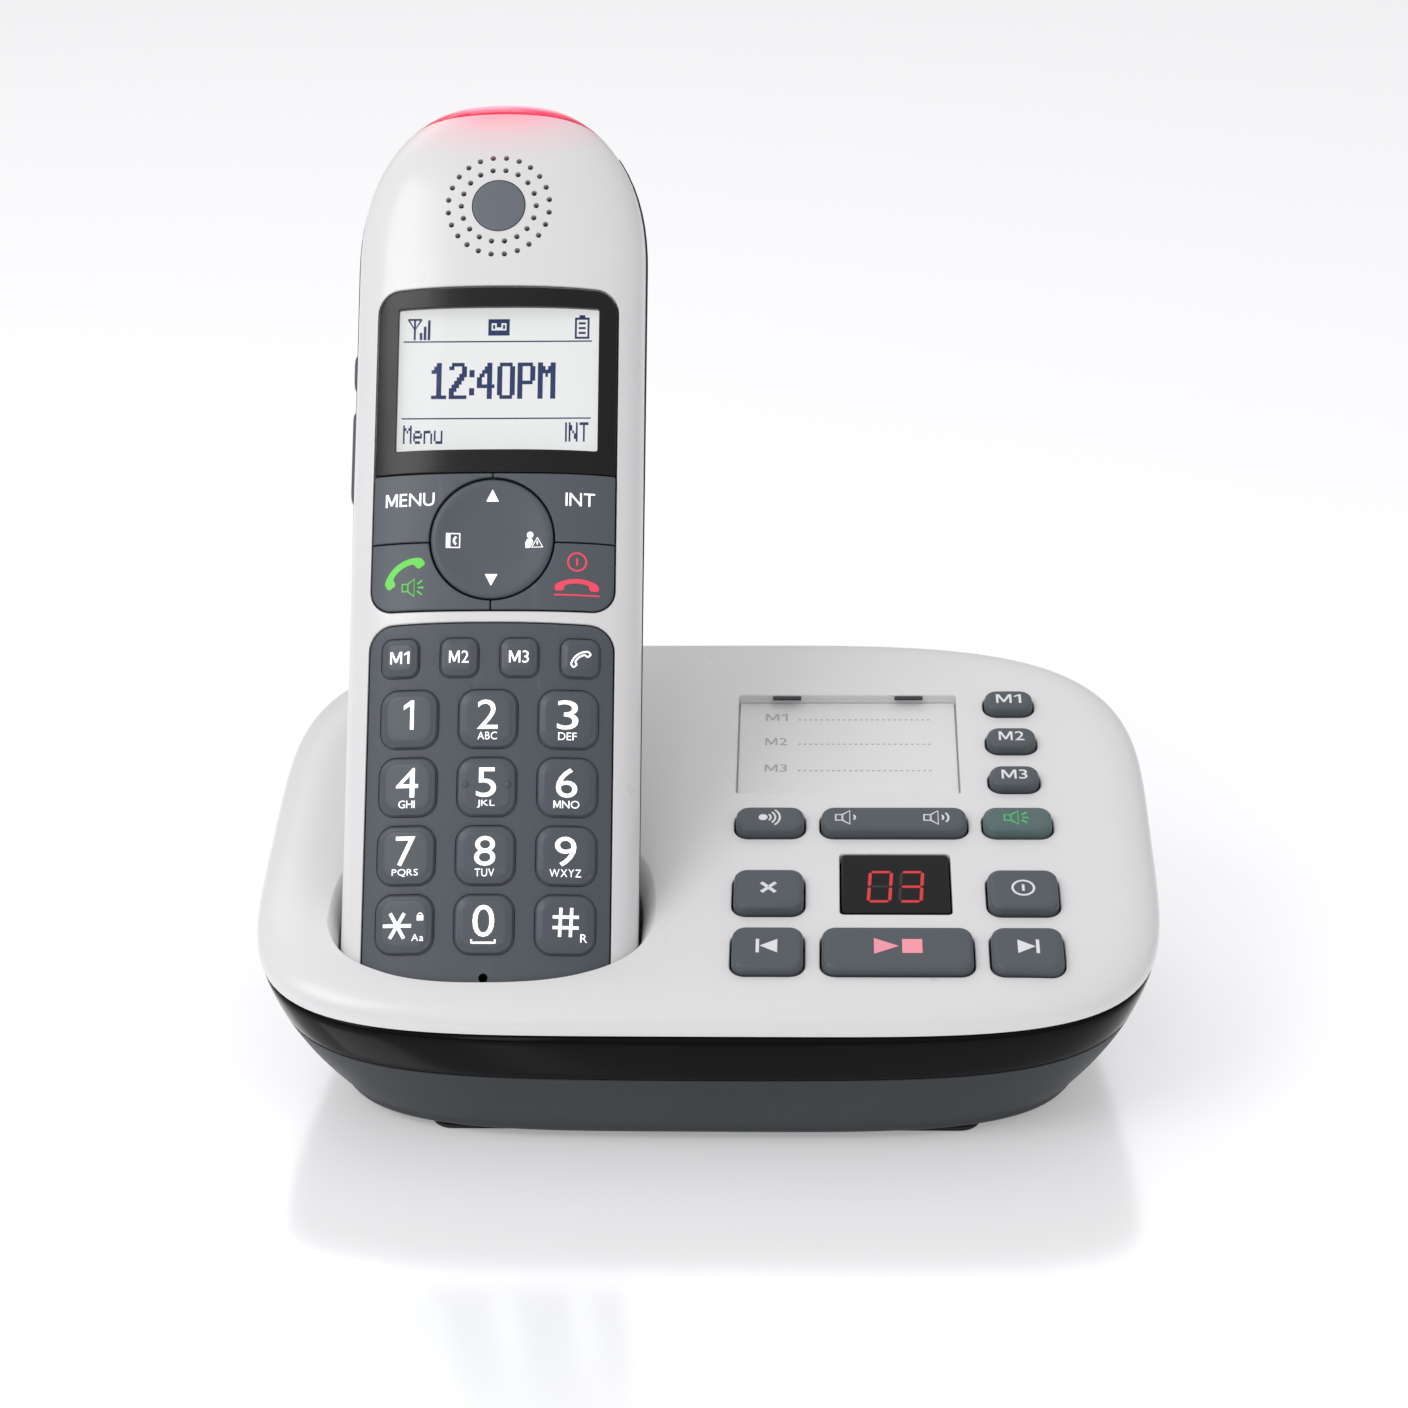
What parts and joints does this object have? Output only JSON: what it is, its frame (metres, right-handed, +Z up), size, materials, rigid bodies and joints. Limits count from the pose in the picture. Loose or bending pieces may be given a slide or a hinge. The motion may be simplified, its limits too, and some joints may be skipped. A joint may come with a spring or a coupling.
{
  "type": "cordless phone with base",
  "caption": "Cordless phone handset with large keys and a screen, standing in a wide sloping answering-machine base with its own keys, card recess and message display.",
  "frame": {"origin": "centre of the whole object's footprint box, on the surface that the base's feet stand on", "axes": "+Z up, -Y towards the person using the keys, +X to their right"},
  "size_m": [0.1662, 0.1141, 0.1671],
  "materials": {
    "white_abs": "fine satin white ABS",
    "gloss_black": "polished black",
    "dark_grey_abs": "matte dark grey ABS",
    "circuit_board": "green solder mask",
    "steel": "plated steel",
    "paper": "white card",
    "clear_acrylic": "clear polished acrylic",
    "smoked_window": "smoked polished acrylic",
    "display_module": "seven-segment display module",
    "black_nylon": "black nylon",
    "rubber_feet": "matte rubber",
    "contact_metal": "nickel-plated spring contact",
    "black_lens": "polished lens with black printed border",
    "lcd": "backlit liquid-crystal display",
    "red_light_guide": "red translucent light guide",
    "earpiece_grey": "grey printed disc",
    "keypad_grey": "satin grey keypad moulding",
    "base_key_grey": "soft grey silicone key",
    "keypad_key_grey": "soft grey silicone key",
    "cell_wrap": "shrink-wrapped cells"
  },
  "bodies": {
    "base": {"base_top_shell": "white_abs", "base_trim_band": "gloss_black", "base_bottom_shell": "dark_grey_abs", "base_circuit_board": "circuit_board", "base_speaker": "steel", "memory_card": "paper", "memory_card_window": "clear_acrylic", "message_display_window": "smoked_window", "message_display": "display_module", "power_jack": "black_nylon", "line_jack": "black_nylon", "foot_front": "rubber_feet", "foot_rear": "rubber_feet"},
    "base_key_memory_1": {"base_key_memory_1": "base_key_grey"},
    "base_key_memory_2": {"base_key_memory_2": "base_key_grey"},
    "base_key_memory_3": {"base_key_memory_3": "base_key_grey"},
    "base_key_page": {"base_key_page": "base_key_grey"},
    "base_key_speaker": {"base_key_speaker": "base_key_grey"},
    "base_key_delete": {"base_key_delete": "base_key_grey"},
    "base_key_power": {"base_key_power": "base_key_grey"},
    "base_key_previous": {"base_key_previous": "base_key_grey"},
    "base_key_play": {"base_key_play": "base_key_grey"},
    "base_key_next": {"base_key_next": "base_key_grey"},
    "base_key_volume": {"base_key_volume": "base_key_grey"},
    "charging_contact_left": {"charging_contact_left": "contact_metal"},
    "charging_contact_right": {"charging_contact_right": "contact_metal"},
    "handset": {"handset_front_shell": "white_abs", "handset_rear_shell": "dark_grey_abs", "handset_window": "black_lens", "handset_lcd": "lcd", "ring_light": "red_light_guide", "handset_circuit_board": "circuit_board", "earpiece": "earpiece_grey", "keypad_panel": "keypad_grey", "battery_pack": "cell_wrap"},
    "battery_door": {"battery_door": "dark_grey_abs"},
    "handset_key_m1": {"handset_key_m1": "keypad_key_grey"},
    "handset_key_m2": {"handset_key_m2": "keypad_key_grey"},
    "handset_key_m3": {"handset_key_m3": "keypad_key_grey"},
    "handset_key_line": {"handset_key_line": "keypad_key_grey"},
    "handset_key_1": {"handset_key_1": "keypad_key_grey"},
    "handset_key_2": {"handset_key_2": "keypad_key_grey"},
    "handset_key_3": {"handset_key_3": "keypad_key_grey"},
    "handset_key_4": {"handset_key_4": "keypad_key_grey"},
    "handset_key_5": {"handset_key_5": "keypad_key_grey"},
    "handset_key_6": {"handset_key_6": "keypad_key_grey"},
    "handset_key_7": {"handset_key_7": "keypad_key_grey"},
    "handset_key_8": {"handset_key_8": "keypad_key_grey"},
    "handset_key_9": {"handset_key_9": "keypad_key_grey"},
    "handset_key_star": {"handset_key_star": "keypad_key_grey"},
    "handset_key_0": {"handset_key_0": "keypad_key_grey"},
    "handset_key_hash": {"handset_key_hash": "keypad_key_grey"},
    "handset_key_menu": {"handset_key_menu": "keypad_key_grey"},
    "handset_key_intercom": {"handset_key_intercom": "keypad_key_grey"},
    "handset_key_talk": {"handset_key_talk": "keypad_key_grey"},
    "handset_key_end": {"handset_key_end": "keypad_key_grey"},
    "navigation_pivot": {"navigation_key_pivot": "black_nylon"},
    "navigation_key": {"navigation_key": "keypad_key_grey"},
    "side_key_boost": {"side_key_boost": "keypad_key_grey"},
    "side_key_volume": {"side_key_volume": "keypad_key_grey"}
  },
  "joints": [
    {"name": "press_base_memory_1", "type": "slide", "parent": "base", "child": "base_key_memory_1", "axis": [0, 0.2639, -0.9646], "range_m": [0, 0.0008], "stiffness_N_per_m": 600},
    {"name": "press_base_memory_2", "type": "slide", "parent": "base", "child": "base_key_memory_2", "axis": [0, 0.2639, -0.9646], "range_m": [0, 0.0008], "stiffness_N_per_m": 600},
    {"name": "press_base_memory_3", "type": "slide", "parent": "base", "child": "base_key_memory_3", "axis": [0, 0.2639, -0.9646], "range_m": [0, 0.0008], "stiffness_N_per_m": 600},
    {"name": "press_base_page", "type": "slide", "parent": "base", "child": "base_key_page", "axis": [0, 0.2639, -0.9646], "range_m": [0, 0.0008], "stiffness_N_per_m": 600},
    {"name": "press_base_speaker", "type": "slide", "parent": "base", "child": "base_key_speaker", "axis": [0, 0.2639, -0.9646], "range_m": [0, 0.0008], "stiffness_N_per_m": 600},
    {"name": "press_base_delete", "type": "slide", "parent": "base", "child": "base_key_delete", "axis": [0, 0.2639, -0.9646], "range_m": [0, 0.0008], "stiffness_N_per_m": 600},
    {"name": "press_base_power", "type": "slide", "parent": "base", "child": "base_key_power", "axis": [0, 0.2639, -0.9646], "range_m": [0, 0.0008], "stiffness_N_per_m": 600},
    {"name": "press_base_previous", "type": "slide", "parent": "base", "child": "base_key_previous", "axis": [0, 0.2639, -0.9646], "range_m": [0, 0.0008], "stiffness_N_per_m": 600},
    {"name": "press_base_play", "type": "slide", "parent": "base", "child": "base_key_play", "axis": [0, 0.2639, -0.9646], "range_m": [0, 0.0008], "stiffness_N_per_m": 600},
    {"name": "press_base_next", "type": "slide", "parent": "base", "child": "base_key_next", "axis": [0, 0.2639, -0.9646], "range_m": [0, 0.0008], "stiffness_N_per_m": 600},
    {"name": "rock_base_volume", "type": "hinge", "parent": "base", "child": "base_key_volume", "pos_m": [0.0347, -0.00813, 0.03916], "axis": [0, 0.9646, 0.2639], "range_deg": [-2, 2], "stiffness_Nm_per_rad": 0.5},
    {"name": "press_contact_left", "type": "slide", "parent": "base", "child": "charging_contact_left", "axis": [0, -0.5519, -0.8339], "range_m": [0, 0.0006], "stiffness_N_per_m": 400},
    {"name": "press_contact_right", "type": "slide", "parent": "base", "child": "charging_contact_right", "axis": [0, -0.5519, -0.8339], "range_m": [0, 0.0006], "stiffness_N_per_m": 400},
    {"name": "lift_handset", "type": "slide", "parent": "base", "child": "handset", "axis": [0, 0.5519, 0.8339], "range_m": [0, 0.09]},
    {"name": "lift_battery_door", "type": "slide", "parent": "handset", "child": "battery_door", "axis": [0, 0.8339, -0.5519], "range_m": [0, 0.016]},
    {"name": "press_m1", "type": "slide", "parent": "handset", "child": "handset_key_m1", "axis": [0, 0.8339, -0.5519], "range_m": [0, 0.0007], "stiffness_N_per_m": 500},
    {"name": "press_m2", "type": "slide", "parent": "handset", "child": "handset_key_m2", "axis": [0, 0.8339, -0.5519], "range_m": [0, 0.0007], "stiffness_N_per_m": 500},
    {"name": "press_m3", "type": "slide", "parent": "handset", "child": "handset_key_m3", "axis": [0, 0.8339, -0.5519], "range_m": [0, 0.0007], "stiffness_N_per_m": 500},
    {"name": "press_line", "type": "slide", "parent": "handset", "child": "handset_key_line", "axis": [0, 0.8339, -0.5519], "range_m": [0, 0.0007], "stiffness_N_per_m": 500},
    {"name": "press_1", "type": "slide", "parent": "handset", "child": "handset_key_1", "axis": [0, 0.8339, -0.5519], "range_m": [0, 0.0007], "stiffness_N_per_m": 500},
    {"name": "press_2", "type": "slide", "parent": "handset", "child": "handset_key_2", "axis": [0, 0.8339, -0.5519], "range_m": [0, 0.0007], "stiffness_N_per_m": 500},
    {"name": "press_3", "type": "slide", "parent": "handset", "child": "handset_key_3", "axis": [0, 0.8339, -0.5519], "range_m": [0, 0.0007], "stiffness_N_per_m": 500},
    {"name": "press_4", "type": "slide", "parent": "handset", "child": "handset_key_4", "axis": [0, 0.8339, -0.5519], "range_m": [0, 0.0007], "stiffness_N_per_m": 500},
    {"name": "press_5", "type": "slide", "parent": "handset", "child": "handset_key_5", "axis": [0, 0.8339, -0.5519], "range_m": [0, 0.0007], "stiffness_N_per_m": 500},
    {"name": "press_6", "type": "slide", "parent": "handset", "child": "handset_key_6", "axis": [0, 0.8339, -0.5519], "range_m": [0, 0.0007], "stiffness_N_per_m": 500},
    {"name": "press_7", "type": "slide", "parent": "handset", "child": "handset_key_7", "axis": [0, 0.8339, -0.5519], "range_m": [0, 0.0007], "stiffness_N_per_m": 500},
    {"name": "press_8", "type": "slide", "parent": "handset", "child": "handset_key_8", "axis": [0, 0.8339, -0.5519], "range_m": [0, 0.0007], "stiffness_N_per_m": 500},
    {"name": "press_9", "type": "slide", "parent": "handset", "child": "handset_key_9", "axis": [0, 0.8339, -0.5519], "range_m": [0, 0.0007], "stiffness_N_per_m": 500},
    {"name": "press_star", "type": "slide", "parent": "handset", "child": "handset_key_star", "axis": [0, 0.8339, -0.5519], "range_m": [0, 0.0007], "stiffness_N_per_m": 500},
    {"name": "press_0", "type": "slide", "parent": "handset", "child": "handset_key_0", "axis": [0, 0.8339, -0.5519], "range_m": [0, 0.0007], "stiffness_N_per_m": 500},
    {"name": "press_hash", "type": "slide", "parent": "handset", "child": "handset_key_hash", "axis": [0, 0.8339, -0.5519], "range_m": [0, 0.0007], "stiffness_N_per_m": 500},
    {"name": "press_menu", "type": "slide", "parent": "handset", "child": "handset_key_menu", "axis": [0, 0.8339, -0.5519], "range_m": [0, 0.0006], "stiffness_N_per_m": 500},
    {"name": "press_intercom", "type": "slide", "parent": "handset", "child": "handset_key_intercom", "axis": [0, 0.8339, -0.5519], "range_m": [0, 0.0006], "stiffness_N_per_m": 500},
    {"name": "press_talk", "type": "slide", "parent": "handset", "child": "handset_key_talk", "axis": [0, 0.8339, -0.5519], "range_m": [0, 0.0006], "stiffness_N_per_m": 500},
    {"name": "press_end", "type": "slide", "parent": "handset", "child": "handset_key_end", "axis": [0, 0.8339, -0.5519], "range_m": [0, 0.0006], "stiffness_N_per_m": 500},
    {"name": "rock_navigation_sideways", "type": "hinge", "parent": "handset", "child": "navigation_pivot", "pos_m": [-0.0389, -0.00098, 0.09608], "axis": [0, 0.5519, 0.8339], "range_deg": [-2, 2], "stiffness_Nm_per_rad": 0.5},
    {"name": "rock_navigation_up_down", "type": "hinge", "parent": "navigation_pivot", "child": "navigation_key", "pos_m": [-0.0389, -0.00098, 0.09608], "axis": [1, 0, 0], "range_deg": [-2, 2], "stiffness_Nm_per_rad": 0.5},
    {"name": "press_side_boost", "type": "slide", "parent": "handset", "child": "side_key_boost", "axis": [1, 0, 0], "range_m": [0, 0.0006], "stiffness_N_per_m": 500},
    {"name": "rock_side_volume", "type": "hinge", "parent": "handset", "child": "side_key_volume", "pos_m": [-0.0629, 0.01619, 0.10708], "axis": [0, 0.8339, -0.5519], "range_deg": [-1.5, 1.5], "stiffness_Nm_per_rad": 0.4}
  ]
}
